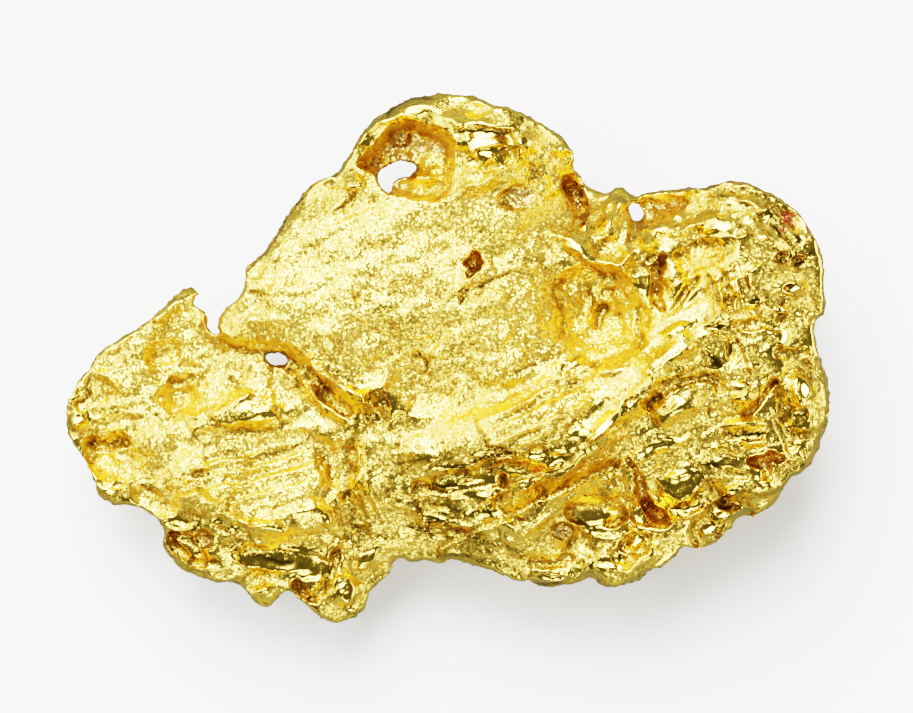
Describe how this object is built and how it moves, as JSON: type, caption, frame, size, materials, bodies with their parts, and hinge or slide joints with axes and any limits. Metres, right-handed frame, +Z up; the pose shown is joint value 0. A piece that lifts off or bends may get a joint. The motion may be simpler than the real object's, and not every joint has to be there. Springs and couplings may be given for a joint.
{
  "type": "gold nugget",
  "caption": "Flat, folded and pitted nugget of native gold with a side arm and an arched lobe, lying on worn flat spots of its under side.",
  "frame": {"origin": "on the surface that the nugget lies on, under the middle of its box", "axes": "+Z up from the surface, +X along the nugget's length away from the side arm, +Y across it towards the arched lobe"},
  "size_m": [0.0192, 0.0134, 0.0055],
  "materials": {
    "native_gold": "frosted, burnished on the high rims, with rusty stains in a few pits"
  },
  "bodies": {
    "root": {"gold_nugget": "native_gold"}
  },
  "joints": []
}
